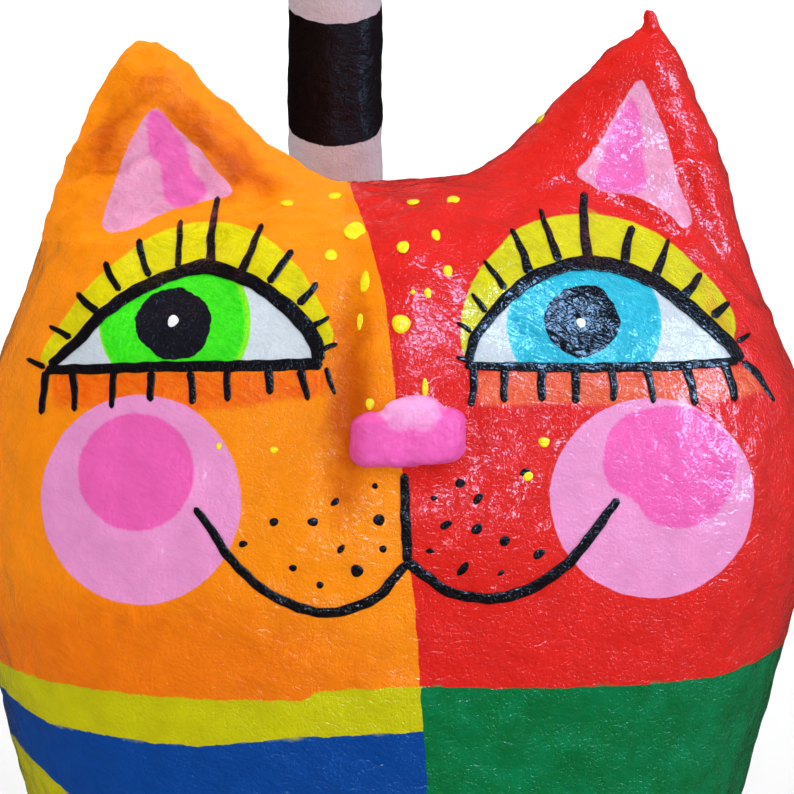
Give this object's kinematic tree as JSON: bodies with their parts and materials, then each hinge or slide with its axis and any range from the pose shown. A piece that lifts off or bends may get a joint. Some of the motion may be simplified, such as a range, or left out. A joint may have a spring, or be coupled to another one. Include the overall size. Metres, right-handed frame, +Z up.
{
  "type": "papier-mache cat ornament",
  "caption": "Egg-shaped papier-mache cat with peaked ears, a nose lump, low paws and an upright tail, painted in bright blocks and varnished, that stands on a flat base.",
  "frame": {"origin": "on the flat underside, straight below the middle of the head", "axes": "+Z up, the face looks along -Y, +X to the right of someone who looks at the face"},
  "size_m": [0.2271, 0.211, 0.338],
  "materials": {
    "painted_paper": "acrylic paint under gloss varnish"
  },
  "bodies": {
    "root": {"papier_mache_cat": "painted_paper"}
  },
  "joints": []
}
